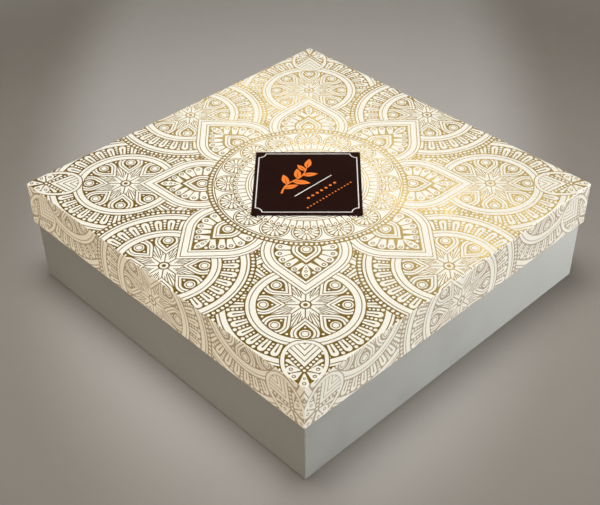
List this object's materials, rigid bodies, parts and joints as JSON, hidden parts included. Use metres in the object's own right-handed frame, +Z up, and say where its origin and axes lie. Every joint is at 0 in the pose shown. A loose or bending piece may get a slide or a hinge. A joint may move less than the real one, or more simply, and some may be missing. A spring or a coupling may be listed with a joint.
{
  "type": "sweet box",
  "caption": "Square rigid paperboard sweet box with a lift-off telescoping lid, a raised square plaque on top and a slotted divider insert that lifts out.",
  "frame": {"origin": "middle of the box's underside, on the table", "axes": "+Z up through the lid, -Y towards the front wall, +X towards the right wall"},
  "size_m": [0.24, 0.24, 0.072],
  "materials": {
    "greyboard": "matt recycled greyboard",
    "stay_tape": "matt gummed kraft",
    "base_paper": "pearl grey, faint sheen",
    "lining_paper": "uncoated white",
    "tray_board": "gold laminated face",
    "divider_board": "coated white board",
    "lid_paper": "white art paper with a gold foil print",
    "plaque_paper": "dark brown, matt",
    "foam_tape": "white foam"
  },
  "bodies": {
    "base": {"base_floor_board": "greyboard", "base_front_wall": "greyboard", "base_right_wall": "greyboard", "base_back_wall": "greyboard", "base_left_wall": "greyboard", "base_corner_stays": "stay_tape", "base_wrap": "base_paper", "base_bottom_sheet": "base_paper", "base_wall_lining": "lining_paper", "base_floor_lining": "lining_paper"},
    "insert": {"tray_card": "tray_board", "divider_row_1": "divider_board", "divider_row_2": "divider_board", "divider_row_3": "divider_board", "divider_column_1": "divider_board", "divider_column_2": "divider_board", "divider_column_3": "divider_board"},
    "lid": {"lid_top_board": "greyboard", "lid_front_skirt": "greyboard", "lid_right_skirt": "greyboard", "lid_back_skirt": "greyboard", "lid_left_skirt": "greyboard", "lid_corner_stays": "stay_tape", "lid_wrap": "lid_paper", "lid_lining": "lining_paper", "plaque_core": "greyboard", "plaque_cover": "plaque_paper", "plaque_tape": "foam_tape"}
  },
  "joints": [
    {"name": "insert_lift", "type": "slide", "parent": "base", "child": "insert", "axis": [0, 0, 1], "range_m": [0, 0.08]},
    {"name": "lid_lift", "type": "slide", "parent": "insert", "child": "lid", "axis": [0, 0, 1], "range_m": [0, 0.12]}
  ]
}
